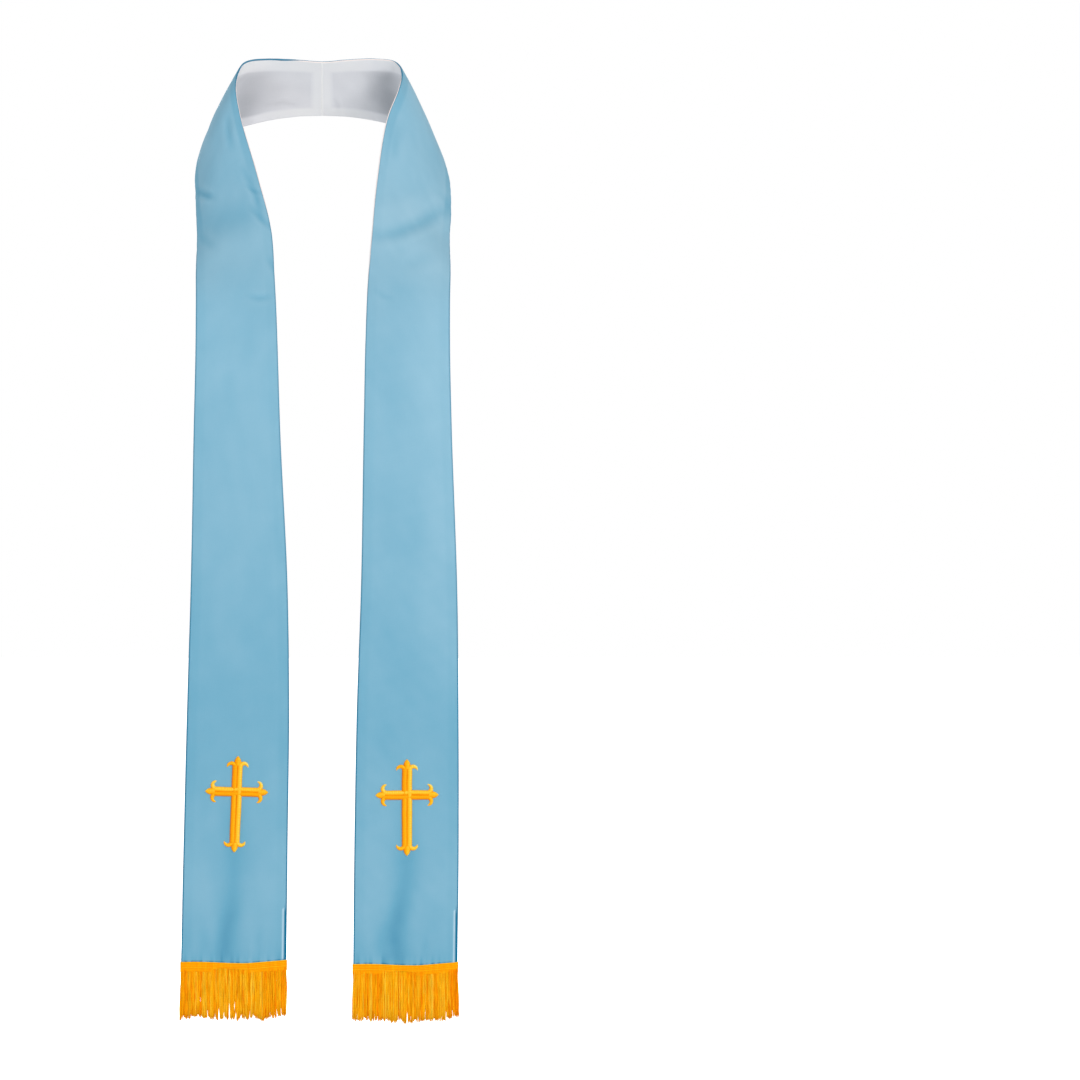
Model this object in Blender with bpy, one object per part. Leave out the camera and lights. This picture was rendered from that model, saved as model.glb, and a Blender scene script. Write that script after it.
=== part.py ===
"""Clerical stole, reversible, worn round an absent neck.

Light-blue halves outside and white halves inside are sewn back to back, joined at the centre back,
with a cross on each side of both hanging ends and a fringe below each hem.
Metres, +Z up, the front faces -Y, the origin is at the nape on the top edge of the neck band.
"""
import bpy
import numpy as np
from mathutils import Vector
from mathutils.geometry import delaunay_2d_cdt

MM = 0.001

CLOTH_WALL = 1.0 * MM
SEAM_GAP = 0.3 * MM
FACE_BACKS = SEAM_GAP / 2
ROWS_BACK = 26
ROWS_FRONT = 20
ROWS_SPLIT = 470.0 * MM
COLUMNS_ACROSS = 8
HOLLOW_HEIGHT = 115.0 * MM
HOLLOW_DEPTH = 1.6 * MM
HOLLOW_MIDDLE = 0.52
HOLLOW_HALF = 0.30
HEM_RISE = 0.9 * MM
HEM_WAVES = 1.1
HEM_PHASE = 0.6

CROSS_WALL = 1.1 * MM
CROSS_UP = 43.0 * MM
CROSS_DOWN = 73.0 * MM
CROSS_SIDE = 38.0 * MM
CROSS_UPRIGHT_HALF = 5.9 * MM
CROSS_BAR_HALF = 5.4 * MM
CROSS_FACE_HEIGHT = {"left": -896.0 * MM, "right": -900.0 * MM}
CROSS_LINING_HEIGHT = {"left": -886.0 * MM, "right": -886.0 * MM}
CROSS_END = 16.0 * MM
CROSS_SPINE_STEP = 9.0 * MM
CROSS_RIDGE = 0.5 * MM
CROSS_TILT = {"left": 0.022, "right": -0.008}

FRINGE_STRIP_HEIGHT = 11.5 * MM
FRINGE_STRIP_WALL = 3.0 * MM
FRINGE_OVERHANG = 1.2 * MM
FRINGE_DROP = 70.0 * MM
FRINGE_COLUMNS = 44
FRINGE_ROOT_GAP = 0.12 * MM
FRINGE_FOOT_FLATTENED = 0.35
FRINGE_UNEVEN = (-0.075, 0.045)
FRINGE_SEED = 7

# Half stole from the centre-back seam to the hem, left half as seen from the front, in mm.
# A row is one section across the cloth: the neck-side edge, the outer edge, the sideways sway
# of each edge (towards +X on both halves) and the bow of the cloth between the edges.
SECTION_COLUMNS = ("ix", "iy", "iz", "ox", "oy", "oz", "sway_i", "sway_o", "bow")
SECTIONS = (
    (0, 0, 0, 0, 58, -62.5, 0.0, 0.0, 2.0),
    (-36, 1, 3, -43, 55, -65, 0.0, 0.0, 2.0),
    (-68, 3, 4, -86, 47, -74, 0.0, 0.0, 2.5),
    (-92, -4, 0, -122, 29, -87, 0.0, 0.0, 3.0),
    (-101, -21, -15, -146, 0, -111, -1.0, -0.5, 4.0),
    (-100, -41, -38, -156, -31, -142, -4.4, 1.2, 5.0),
    (-91, -56, -70, -157, -59, -172, -8.0, 3.0, 5.0),
    (-73, -90, -148, -154, -108, -227, -4.0, 3.2, 4.0),
    (-61, -129, -218, -154, -158, -269, 1.0, 3.0, 3.5),
    (-56, -164, -282, -153, -190, -310, 0.6, 2.6, 3.0),
    (-53, -190, -352, -153, -203, -368, 0.8, 2.4, 2.5),
    (-50, -205, -461, -155, -205, -461, 1.4, 2.4, 2.0),
    (-44, -207, -650, -160, -207, -650, 4.2, 3.8, 1.5),
    (-40.5, -208, -800, -163, -208, -800, 2.6, 2.4, 1.2),
    (-40, -208, -950, -165, -208, -950, 0.4, 0.6, 1.2),
    (-40, -208, -1100, -166, -208, -1100, -1.2, -1.8, 1.2),
)

# One end of a cross arm from its tip inwards, in mm: a pointed bud and a petal that curls back.
MOTIF_COLUMNS = ("from_tip", "half_width")
MOTIF = (
    (0.0, 0.0),
    (1.3, 1.7),
    (3.2, 3.0),
    (5.2, 4.0),
    (7.2, 4.5),
    (7.6, 7.3),
    (9.2, 10.3),
    (12.4, 12.6),
    (14.4, 12.9),
    (14.8, 11.6),
    (12.9, 9.4),
    (12.4, 7.6),
    (14.0, 6.2),
)

SATIN_BLUE = ("satin_light_blue", "#82B6D1", 0.45)
SATIN_WHITE = ("satin_white", "#D6D7DE", 0.5)
GOLD_EMBROIDERY = ("gold_embroidery", "#FFB423", 0.5)
GOLD_FRINGE = ("gold_fringe_yarn", "#FFAF10", 0.65)


def srgb(code):
    """Linear RGBA of a hex sRGB colour."""
    value = np.array([int(code[i:i + 2], 16) for i in (1, 3, 5)]) / 255.0
    linear = np.where(value <= 0.04045, value / 12.92, ((value + 0.055) / 1.055) ** 2.4)
    return (*linear, 1.0)


def material(spec):
    """The Principled material of a (name, colour, roughness) triple, made once."""
    name, code, roughness = spec
    found = bpy.data.materials.get(name)
    if found:
        return found
    made = bpy.data.materials.new(name)
    made.use_nodes = True
    shader = made.node_tree.nodes["Principled BSDF"]
    shader.inputs["Base Color"].default_value = srgb(code)
    shader.inputs["Roughness"].default_value = roughness
    made.diffuse_color = srgb(code)
    return made


def add_object(name, points, faces, spec):
    """A closed solid from an array of points and one of triangles, turned to face outwards."""
    a, b, c = (points[faces[:, k]] - points.mean(axis=0) for k in range(3))
    volume = np.einsum("ij,ij->i", a, np.cross(b, c)).sum()
    if volume < 0:
        faces = faces[:, ::-1]
    mesh = bpy.data.meshes.new(name)
    mesh.from_pydata(points.tolist(), [], faces.tolist())
    mesh.materials.append(material(spec))
    mesh.update()
    thing = bpy.data.objects.new(name, mesh)
    bpy.context.scene.collection.objects.link(thing)
    return thing


def section_table():
    """The section rows in metres and the length run down the middle of the cloth at each row.

    The second row mirrored in X goes first, so that the halves run smoothly through the seam.
    """
    rows = np.array(SECTIONS, float) * MM
    ghost = rows[1].copy()
    ghost[[0, 3]] *= -1
    rows = np.vstack([ghost, rows])
    middle = (rows[:, 0:3] + rows[:, 3:6]) / 2
    step = np.linalg.norm(np.diff(middle, axis=0), axis=1)
    run = np.concatenate([[0.0], np.cumsum(step)])
    return run - run[1], rows


RUN, ROWS = section_table()
SLOPES = np.gradient(ROWS, RUN, axis=0)
HALF_LENGTH = RUN[-1]


def section(run):
    """Section values at a run along the cloth: cubic Hermite curve through the table's rows."""
    run = np.asarray(run, float)
    k = np.clip(np.searchsorted(RUN, run, side="right") - 1, 1, len(RUN) - 2)
    width = (RUN[k + 1] - RUN[k])[..., None]
    t = ((run - RUN[k])[..., None]) / width
    h00 = 2 * t ** 3 - 3 * t ** 2 + 1
    h10 = t ** 3 - 2 * t ** 2 + t
    h01 = -2 * t ** 3 + 3 * t ** 2
    h11 = t ** 3 - t ** 2
    return h00 * ROWS[k] + h10 * width * SLOPES[k] + h01 * ROWS[k + 1] + h11 * width * SLOPES[k + 1]


def bent(run, across):
    """Middle surface before sway, left half: straight from edge to edge, plus bow and folds.

    The bow is a parabola across the cloth. The lower 115 mm also has one soft hollow near its
    middle: the square of a cosine across it, times the square of how far down it is.
    """
    values = section(run)
    inner = values[..., 0:3]
    outer = values[..., 3:6]
    v = np.asarray(across, float)[..., None]
    point = inner * (1 - v) + outer * v
    lean = np.cross(outer - inner, section(run + 1 * MM)[..., 0:3] - inner)
    lean = lean / np.linalg.norm(lean, axis=-1, keepdims=True)
    bow = values[..., 8:9] * (1 - (2 * v - 1) ** 2)
    low = np.clip((np.asarray(run, float)[..., None] - HALF_LENGTH + HOLLOW_HEIGHT) / HOLLOW_HEIGHT, 0, 1)
    beside = np.clip((v - HOLLOW_MIDDLE) / HOLLOW_HALF, -1, 1)
    hollow = HOLLOW_DEPTH * low ** 2 * np.cos(beside * np.pi / 2) ** 2
    return point + lean * (bow - hollow)


def cloth(side, run, across, out):
    """Points of a half at a run, a place across (0 at the neck side, 1 outside) and out of it.

    Out is measured along the surface normal, positive on the light-blue side.
    """
    run = np.asarray(run, float)
    across = np.asarray(across, float)
    run, across = np.broadcast_arrays(run, across)
    h = 0.5 * MM
    start = np.maximum(run - h, 0)
    along = bent(np.minimum(run + h, HALF_LENGTH), across) - bent(start, across)
    sideways = bent(run, across + 0.01) - bent(run, across - 0.01)
    normal = np.cross(sideways, along)
    normal = normal / np.linalg.norm(normal, axis=-1, keepdims=True)
    point = bent(run, across) + normal * np.asarray(out, float)[..., None]
    point[..., 0] = np.minimum(point[..., 0], -SEAM_GAP / 2)
    values = section(run)
    sway = values[..., 6] * (1 - across) + values[..., 7] * across
    if side == "right":
        point[..., 0] *= -1
    point[..., 0] += sway
    return point


def hem_wave(across):
    """Small rise and fall of the hem across the cloth, a slow sine."""
    return HEM_RISE * np.sin(across * 2 * np.pi * HEM_WAVES + HEM_PHASE)


def panel_runs():
    """Runs of the panel's sections: close together over the shoulder, wider down the front."""
    back = np.linspace(0, ROWS_SPLIT, ROWS_BACK + 1)
    front = np.linspace(ROWS_SPLIT, HALF_LENGTH, ROWS_FRONT + 1)[1:]
    return np.concatenate([back, front])


def grid_faces(rows, columns, start):
    """Triangles of a rows x columns grid of points whose first index is start."""
    r, c = np.meshgrid(np.arange(rows - 1), np.arange(columns - 1), indexing="ij")
    a = start + r * columns + c
    b = a + 1
    d = a + columns
    e = d + 1
    first = np.stack([a, b, e], -1).reshape(-1, 3)
    second = np.stack([a, e, d], -1).reshape(-1, 3)
    return np.vstack([first, second])


def rim_faces(low, high):
    """Triangles between two equal loops of point indices."""
    low_next = np.roll(low, -1)
    high_next = np.roll(high, -1)
    return np.vstack([np.stack([low, low_next, high_next], -1), np.stack([low, high_next, high], -1)])


def add_panel(name, side, near, far, spec):
    """A cloth wall between two distances out of the middle surface, near first."""
    runs = panel_runs()
    places = np.linspace(0, 1, COLUMNS_ACROSS + 1)
    run, across = np.meshgrid(runs, places, indexing="ij")
    rows, columns = run.shape
    sheets = []
    for out in (near, far):
        points = cloth(side, run, across, np.full(run.shape, out))
        points[-1, :, 2] += hem_wave(places)
        sheets.append(points.reshape(-1, 3))
    points = np.vstack(sheets)
    index = np.arange(rows * columns).reshape(rows, columns)
    loop = np.concatenate([index[0, :-1], index[:-1, -1], index[-1, :0:-1], index[:0:-1, 0]])
    count = rows * columns
    faces = np.vstack([
        grid_faces(rows, columns, 0),
        grid_faces(rows, columns, count)[:, ::-1],
        rim_faces(loop + count, loop),
    ])
    return add_object(name, points, faces, spec)


def cross_outline():
    """Flat outline of the cross, (right, up) from its crossing, anticlockwise from the top tip."""
    motif = np.array(MOTIF) * MM
    arms = (
        (CROSS_UP, (0, 1), CROSS_UPRIGHT_HALF, CROSS_BAR_HALF),
        (CROSS_SIDE, (-1, 0), CROSS_BAR_HALF, CROSS_UPRIGHT_HALF),
        (CROSS_DOWN, (0, -1), CROSS_UPRIGHT_HALF, CROSS_BAR_HALF),
        (CROSS_SIDE, (1, 0), CROSS_BAR_HALF, CROSS_UPRIGHT_HALF),
    )
    loop = []
    for reach, way, half, other in arms:
        way = np.array(way, float)
        left = np.array((-way[1], way[0]))
        bar = np.array([(CROSS_END, half)])
        end = np.vstack([motif, bar])
        near = (reach - end[::-1, 0:1]) * way - end[::-1, 1:2] * left
        away = (reach - end[1:, 0:1]) * way + end[1:, 1:2] * left
        corner = other * way + half * left
        loop.append(np.vstack([near, away, corner]))
    return np.vstack(loop)


def cross_spine():
    """Points down the middle of both bars of the cross, where the embroidery is fullest."""
    upright = np.arange(CROSS_SPINE_STEP, CROSS_UP - CROSS_SPINE_STEP, CROSS_SPINE_STEP)
    foot = -np.arange(CROSS_SPINE_STEP, CROSS_DOWN - CROSS_SPINE_STEP, CROSS_SPINE_STEP)
    arm = np.arange(CROSS_SPINE_STEP, CROSS_SIDE - CROSS_SPINE_STEP, CROSS_SPINE_STEP)
    heights = np.concatenate([[0.0], upright, foot])
    sides = np.concatenate([arm, -arm])
    vertical = np.stack([np.zeros_like(heights), heights], -1)
    level = np.stack([sides, np.zeros_like(sides)], -1)
    return np.vstack([vertical, level])


def add_cross(name, side, height, near, far):
    """A cross lying on the cloth between two distances out, near first."""
    outline = cross_outline()
    edges = [(k, (k + 1) % len(outline)) for k in range(len(outline))]
    flat = np.vstack([outline, cross_spine()])
    cut = delaunay_2d_cdt([Vector(pair) for pair in flat.tolist()], edges, [], 1, 1e-7)
    flat = np.array([tuple(pair) for pair in cut[0]])
    triangles = np.array(cut[2])
    tilt = CROSS_TILT[side]
    flat = np.stack([flat[:, 0] + tilt * flat[:, 1], flat[:, 1] - tilt * flat[:, 0]], -1)
    run = HALF_LENGTH - (height + flat[:, 1]) + ROWS[-1, 2]
    values = section(run)
    width = values[:, 0] - values[:, 3]
    sign = 1.0 if side == "right" else -1.0
    across = 0.5 + sign * flat[:, 0] / width
    ridge = np.where(np.arange(len(flat)) < len(outline), 0.0, CROSS_RIDGE) * np.sign(far - near)
    sheets = [cloth(side, run, across, np.full(len(flat), near)), cloth(side, run, across, far + ridge)]
    points = np.vstack(sheets)
    count = len(flat)
    loop = np.arange(len(outline))
    faces = np.vstack([
        triangles[:, ::-1],
        triangles + count,
        rim_faces(loop, loop + count),
    ])
    return add_object(name, points, faces, GOLD_EMBROIDERY)


def strand_sway(place, row, drop):
    """Sideways drift of the strands: three slow sines, always less than the spacing allows."""
    x = place * 2 * np.pi
    shift = row * 1.9
    wave = 1.1 * np.sin(3.1 * x + shift) + 0.75 * np.sin(7.3 * x + 2.2 * shift + 0.8)
    wave += 0.42 * np.sin(13.7 * x + 0.7 + 1.3 * shift)
    return wave * MM * drop ** 1.3


def add_fringe(name, side, hem_side_seed):
    """A woven strip just below the hem with two rows of strands drawn down out of its underside."""
    rng = np.random.default_rng(FRINGE_SEED + hem_side_seed)
    n = FRINGE_COLUMNS
    width = ROWS[-1, 0] - ROWS[-1, 3]
    extra = FRINGE_OVERHANG / width
    place = np.linspace(-extra, 1 + extra, n + 1)
    line = cloth(side, np.full(n + 1, HALF_LENGTH), place, np.zeros(n + 1))
    line[:, 2] += hem_wave(place) - SEAM_GAP
    depth = np.array([-0.5, 0.0, 0.5]) * FRINGE_STRIP_WALL
    top = np.stack([line + (0, d, 0) for d in depth[[0, 2]]], 1)
    bottom = np.stack([line + (0, d, -FRINGE_STRIP_HEIGHT) for d in depth], 1)
    level = bottom[:, :, 2].mean()
    bottom[:, :, 2] = level + FRINGE_FOOT_FLATTENED * (bottom[:, :, 2] - level)

    points = [top.reshape(-1, 3), bottom.reshape(-1, 3)]
    t = np.arange(n + 1) * 2
    b = 2 * (n + 1) + np.arange(n + 1) * 3
    quads = np.vstack([
        np.stack([t[:-1], t[1:], t[1:] + 1, t[:-1] + 1], -1),
        np.stack([b[:-1], b[1:], t[1:], t[:-1]], -1),
        np.stack([t[:-1] + 1, t[1:] + 1, b[1:] + 2, b[:-1] + 2], -1),
    ])
    ends = []
    for k, order in ((0, 1), (n, -1)):
        fan = np.array([(t[k], t[k] + 1, b[k] + 1), (t[k], b[k] + 1, b[k]), (t[k] + 1, b[k] + 2, b[k] + 1)])
        ends.append(fan[:, ::order])

    column, row = np.meshgrid(np.arange(n), np.arange(2), indexing="ij")
    column = column.ravel()
    row = row.ravel()
    corner = np.stack([
        b[column] + row,
        b[column + 1] + row,
        b[column + 1] + row + 1,
        b[column] + row + 1,
    ], -1)
    base = np.vstack(points)[corner]
    centre = base.mean(axis=1, keepdims=True)
    half = base - centre
    shrink = 1 - FRINGE_ROOT_GAP / np.maximum(np.abs(half).max(axis=1, keepdims=True), 1e-6)
    root = centre + half * np.where(np.abs(half) > 1e-7, shrink, 1.0)
    reach = FRINGE_DROP - FRINGE_STRIP_HEIGHT - SEAM_GAP
    length = reach * (1 + rng.uniform(*FRINGE_UNEVEN, (len(column), 1, 1)))
    stations = ((0.0, 1.0, 1.0), (0.35, 0.97, 1.0), (0.78, 0.82, 0.9), (1.0, 0.22, 0.3))
    rings = []
    for drop, wide, deep in stations:
        ring = centre + (root - centre) * (wide, deep, 1.0)
        mid = (place[column] + place[column + 1])[:, None] / 2
        drift = strand_sway(mid, row[:, None], drop) * np.ones((1, 4))
        ring[:, :, 0] += drift
        ring[:, :, 2] -= drop * length[:, :, 0]
        rings.append(ring)
    count = sum(len(block) for block in points)
    strands = np.stack(rings, 1)
    points.append(strands.reshape(-1, 3))
    first = count + np.arange(len(column))[:, None] * 16 + np.arange(4)[None, :]
    upper = corner
    for k in range(4):
        lower = first + 4 * k
        wall = np.stack([upper, lower, np.roll(lower, -1, 1), np.roll(upper, -1, 1)], -1)
        quads = np.vstack([quads, wall.reshape(-1, 4)])
        upper = lower
    quads = np.vstack([quads, upper[:, ::-1]])
    faces = np.vstack([quads[:, [0, 1, 2]], quads[:, [0, 2, 3]], *ends])
    return add_object(name, np.vstack(points), faces, GOLD_FRINGE)


def build():
    """Empty the scene and make every sewn piece."""
    for thing in list(bpy.data.objects):
        bpy.data.objects.remove(thing, do_unlink=True)
    near = FACE_BACKS
    far = FACE_BACKS + CLOTH_WALL
    low = far + SEAM_GAP
    high = low + CROSS_WALL
    for seed, side in enumerate(("left", "right")):
        add_panel("face_" + side, side, near, far, SATIN_BLUE)
        add_panel("lining_" + side, side, -near, -far, SATIN_WHITE)
        add_cross("face_cross_" + side, side, CROSS_FACE_HEIGHT[side], low, high)
        add_cross("lining_cross_" + side, side, CROSS_LINING_HEIGHT[side], -low, -high)
        add_fringe("fringe_" + side, side, seed)


build()
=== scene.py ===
"""Clerical stole, reversible: light-blue satin outside, white satin inside, gold crosses and fringe.

Metres, +Z up, the front faces -Y, the origin is at the nape on the top edge of the neck band.
Left and right are as seen from the front.
"""
import bpy
import numpy as np
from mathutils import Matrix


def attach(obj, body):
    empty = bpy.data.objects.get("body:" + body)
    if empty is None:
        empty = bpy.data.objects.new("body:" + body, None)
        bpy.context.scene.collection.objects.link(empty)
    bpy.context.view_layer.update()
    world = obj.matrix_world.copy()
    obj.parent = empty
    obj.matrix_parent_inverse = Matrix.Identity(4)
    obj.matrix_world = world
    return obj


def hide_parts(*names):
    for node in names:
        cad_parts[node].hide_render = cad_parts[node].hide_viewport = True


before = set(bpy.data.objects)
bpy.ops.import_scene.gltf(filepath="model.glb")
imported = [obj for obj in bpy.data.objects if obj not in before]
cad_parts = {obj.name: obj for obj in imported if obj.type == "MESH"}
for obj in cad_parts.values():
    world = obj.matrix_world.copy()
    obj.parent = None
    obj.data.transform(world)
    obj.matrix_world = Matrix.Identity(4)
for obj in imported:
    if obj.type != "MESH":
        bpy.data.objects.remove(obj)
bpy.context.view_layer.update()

MM = 0.001

# The cloth's form, as in the solids
CLOTH_WALL = 1.0 * MM
SEAM_GAP = 0.3 * MM
FACE_OUT = SEAM_GAP / 2 + CLOTH_WALL    # from the middle surface to the blue or the white face
HOLLOW_HEIGHT = 115 * MM                # the soft hollow above each hem
HOLLOW_DEPTH = 1.6 * MM
HOLLOW_MIDDLE = 0.52                    # share of the width at its middle
HOLLOW_HALF = 0.30                      # share of the width from its middle to its side
# Each row down the left half, in mm: the neck-side edge (x, y, z), the outer edge (x, y, z), how far
# both halves sway to the right at each edge, and how far the cloth bows out of the flat.
SECTIONS = (
    (0, 0, 0, 0, 58, -62.5, 0.0, 0.0, 2.0),
    (-36, 1, 3, -43, 55, -65, 0.0, 0.0, 2.0),
    (-68, 3, 4, -86, 47, -74, 0.0, 0.0, 2.5),
    (-92, -4, 0, -122, 29, -87, 0.0, 0.0, 3.0),
    (-101, -21, -15, -146, 0, -111, -1.0, -0.5, 4.0),
    (-100, -41, -38, -156, -31, -142, -4.4, 1.2, 5.0),
    (-91, -56, -70, -157, -59, -172, -8.0, 3.0, 5.0),
    (-73, -90, -148, -154, -108, -227, -4.0, 3.2, 4.0),
    (-61, -129, -218, -154, -158, -269, 1.0, 3.0, 3.5),
    (-56, -164, -282, -153, -190, -310, 0.6, 2.6, 3.0),
    (-53, -190, -352, -153, -203, -368, 0.8, 2.4, 2.5),
    (-50, -205, -461, -155, -205, -461, 1.4, 2.4, 2.0),
    (-44, -207, -650, -160, -207, -650, 4.2, 3.8, 1.5),
    (-40.5, -208, -800, -163, -208, -800, 2.6, 2.4, 1.2),
    (-40, -208, -950, -165, -208, -950, 0.4, 0.6, 1.2),
    (-40, -208, -1100, -166, -208, -1100, -1.2, -1.8, 1.2),
)


def section_table():
    """Section rows in metres and the run down the middle of the cloth at each; a mirrored row first."""
    rows = np.array(SECTIONS, float) * MM
    ghost = rows[1].copy()
    ghost[[0, 3]] *= -1
    rows = np.vstack([ghost, rows])
    middle = (rows[:, 0:3] + rows[:, 3:6]) / 2
    run = np.concatenate([[0.0], np.cumsum(np.linalg.norm(np.diff(middle, axis=0), axis=1))])
    return run - run[1], rows


RUN, ROWS = section_table()
SLOPES = np.gradient(ROWS, RUN, axis=0)
HALF_LENGTH = RUN[-1]
HEM_Z = ROWS[-1, 2]


def section(run):
    """Section values at a run along the cloth: cubic Hermite curve through the table's rows."""
    k = np.clip(np.searchsorted(RUN, run, side="right") - 1, 1, len(RUN) - 2)
    width = (RUN[k + 1] - RUN[k])[..., None]
    t = (run - RUN[k])[..., None] / width
    ends = (2 * t ** 3 - 3 * t ** 2 + 1) * ROWS[k] + (3 * t ** 2 - 2 * t ** 3) * ROWS[k + 1]
    return ends + width * ((t ** 3 - 2 * t ** 2 + t) * SLOPES[k] + (t ** 3 - t ** 2) * SLOPES[k + 1])


def smooth(low, high, value):
    """Smoothstep: 0 below low, 1 above high, a cubic between."""
    t = np.clip((value - low) / (high - low), 0, 1)
    return t * t * (3 - 2 * t)


def bell(value, middle, spread):
    """Bell curve of height 1: e to the minus square of the distance over the spread."""
    return np.exp(-((value - middle) / spread) ** 2)


def bent(run, across):
    """Middle surface, left half: straight from edge to edge, plus a parabola and a hollow at the hem."""
    values = section(run)
    inner, outer, v = values[..., 0:3], values[..., 3:6], across[..., None]
    point = inner * (1 - v) + outer * v
    lean = np.cross(outer - inner, section(run + 1 * MM)[..., 0:3] - inner)
    lean = lean / np.linalg.norm(lean, axis=-1, keepdims=True)
    bow = values[..., 8:9] * (1 - (2 * v - 1) ** 2)
    low = np.clip((run[..., None] - (HALF_LENGTH - HOLLOW_HEIGHT)) / HOLLOW_HEIGHT, 0, 1)
    beside = np.clip((v - HOLLOW_MIDDLE) / HOLLOW_HALF, -1, 1)
    hollow = HOLLOW_DEPTH * low ** 2 * np.cos(beside * np.pi / 2) ** 2
    return point + lean * (bow - hollow)


# Folds, placed in mm

# Each crease: half, depth (a trough is positive, a ridge negative), width, then its line as
# (x, z) points seen from the front; it runs out to nothing at both ends.
FRONT_CREASES = (
    ("left", 0.8, 4.6, ((-110, -70), (-108, -92), (-103, -114))),
    ("left", 0.85, 2.2, ((-89, -160), (-81, -167), (-69, -171))),
    ("left", 0.9, 3.4, ((-91, -138), (-84, -156), (-77, -174), (-72, -203))),
    ("left", 0.95, 3.2, ((-84, -188), (-73, -203), (-59, -217))),
    ("left", 1.5, 4.2, ((-153, -164), (-144, -171), (-131, -175))),
    ("left", 0.9, 3.6, ((-64, -252), (-58, -264), (-53, -276))),
    ("left", 0.6, 5.0, ((-150, -222), (-142, -231), (-131, -240))),
    ("left", 0.7, 15.0, ((-150, -214), (-120, -206), (-92, -198), (-66, -202))),
    ("left", 0.7, 3.6, ((-61, -300), (-75, -303), (-88, -300))),
    ("right", 1.15, 7.2, ((58, -224), (76, -224), (95, -220), (124, -207), (156, -184))),
    ("right", -0.45, 10.0, ((64, -199), (90, -194), (129, -177), (142, -168))),
    ("right", 0.5, 8.0, ((98, -260), (112, -258), (133, -251))),
    ("right", 0.7, 6.0, ((101, -84), (97, -108), (92, -132))),
    ("right", 0.5, 4.0, ((140, -166), (149, -176), (156, -188))),
    ("right", 0.4, 3.0, ((66, -292), (74, -300), (86, -303))),
)
# The same for the neck band, as (run, across) in mm from the centre seam and from the top edge.
BAND_CREASES = (
    ("right", 0.8, 2.6, ((17, 58), (19, 66), (21, 76))),
    ("left", 0.5, 3.0, ((26, 68), (44, 63), (66, 66))),
    ("left", 0.5, 4.0, ((96, 14), (112, 26), (122, 42))),
    ("right", 0.55, 4.5, ((108, 10), (120, 24), (128, 44))),
    ("left", 0.6, 7.0, ((128, 60), (150, 70), (170, 88))),
    ("right", 0.6, 7.0, ((120, 56), (146, 74), (160, 92))),
    ("right", 0.35, 5.0, ((58, 20), (64, 38), (62, 56))),
)
# Lower ends, as (across from the photograph's left edge of the panel, height above the hem) in mm.
HEM_CREASES = (
    ("left", 0.5, 8.5, ((62, 82), (58, 54), (54, 34), (51, 14), (55, -4))),
    ("left", 0.3, 6.0, ((25, 46), (28, 28), (27, 5))),
    ("left", 0.25, 4.0, ((94, 40), (92, 22), (95, 2))),
    ("right", 0.36, 9.0, ((62, 104), (60, 84), (56, 64), (50, 44), (49, 28), (54, 10), (57, -4))),
    ("right", 0.3, 6.0, ((33, 44), (31, 24), (35, 4))),
    ("right", 0.25, 4.0, ((88, 36), (86, 18), (90, 2))),
)
# A long shallow hollow rises from the hem past the cross. Its middle is a share of the width from the
# photograph's left edge of the panel: first high up, then how far it drifts from there at the hem.
LONG_HOLLOW = {"left": (0.49, 0.07), "right": (0.51, 0.11)}
LONG_HOLLOW_DEPTH = 1.15 * MM
LONG_HOLLOW_SPREAD = 17 * MM
# Heights of the soft waves down the cloth, of the small ripples on them, of the gathers that the
# fringe's stitching draws into the hem, and of the puckers along both sewn edges.
WAVE_HEIGHT = 0.55 * MM
RIPPLE_HEIGHT = 0.12 * MM
GATHER_HEIGHT = 0.38 * MM
PUCKER_HEIGHT = 0.2 * MM


def near_line(u, w, line):
    """Distance of points (u, w) to a bent line, with the share of its length at the nearest place."""
    line = np.array(line, float) * MM
    steps = np.linalg.norm(np.diff(line, axis=0), axis=1)
    starts = np.concatenate([[0.0], np.cumsum(steps)])
    best = np.full(u.shape, 1.0)
    share = np.zeros(u.shape)
    for k, length in enumerate(steps):
        way = (line[k + 1] - line[k]) / length
        t = np.clip((u - line[k, 0]) * way[0] + (w - line[k, 1]) * way[1], 0, length)
        gap = np.hypot(u - line[k, 0] - t * way[0], w - line[k, 1] - t * way[1])
        closer = gap < best
        best = np.where(closer, gap, best)
        share = np.where(closer, (starts[k] + t) / starts[-1], share)
    return best, share


def crease(u, w, depth, width, line):
    """A trough (bell curve across, with low shoulders beside it) that runs out at both ends."""
    gap, share = near_line(u, w, line)
    q = gap / (width * MM)
    along = np.clip(np.sin(np.pi * np.clip(share * 0.92 + 0.04, 0, 1)), 0, 1) ** 0.7
    return -depth * MM * along * (bell(q, 0, 1) - 0.28 * bell(q, 2.0, 0.8))


def slow_waves(seed, u, w, longest, shortest, count=16):
    """Sum of sine waves of seeded lengths, directions and phases, about -1 to 1."""
    rng = np.random.default_rng(seed)
    length = np.exp(rng.uniform(np.log(shortest), np.log(longest), count)) * MM
    angle = rng.uniform(0, 2 * np.pi, count)
    phase = rng.uniform(0, 2 * np.pi, count)
    total = np.zeros(np.shape(u))
    for k in range(count):
        total += np.sin(2 * np.pi / length[k] * (u * np.cos(angle[k]) + w * np.sin(angle[k])) + phase[k])
    return total / np.sqrt(2 * count)


def cloth_width(run):
    """Width of the cloth from edge to edge at a run."""
    values = section(run)
    return np.linalg.norm(values[..., 3:6] - values[..., 0:3], axis=-1)


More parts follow.
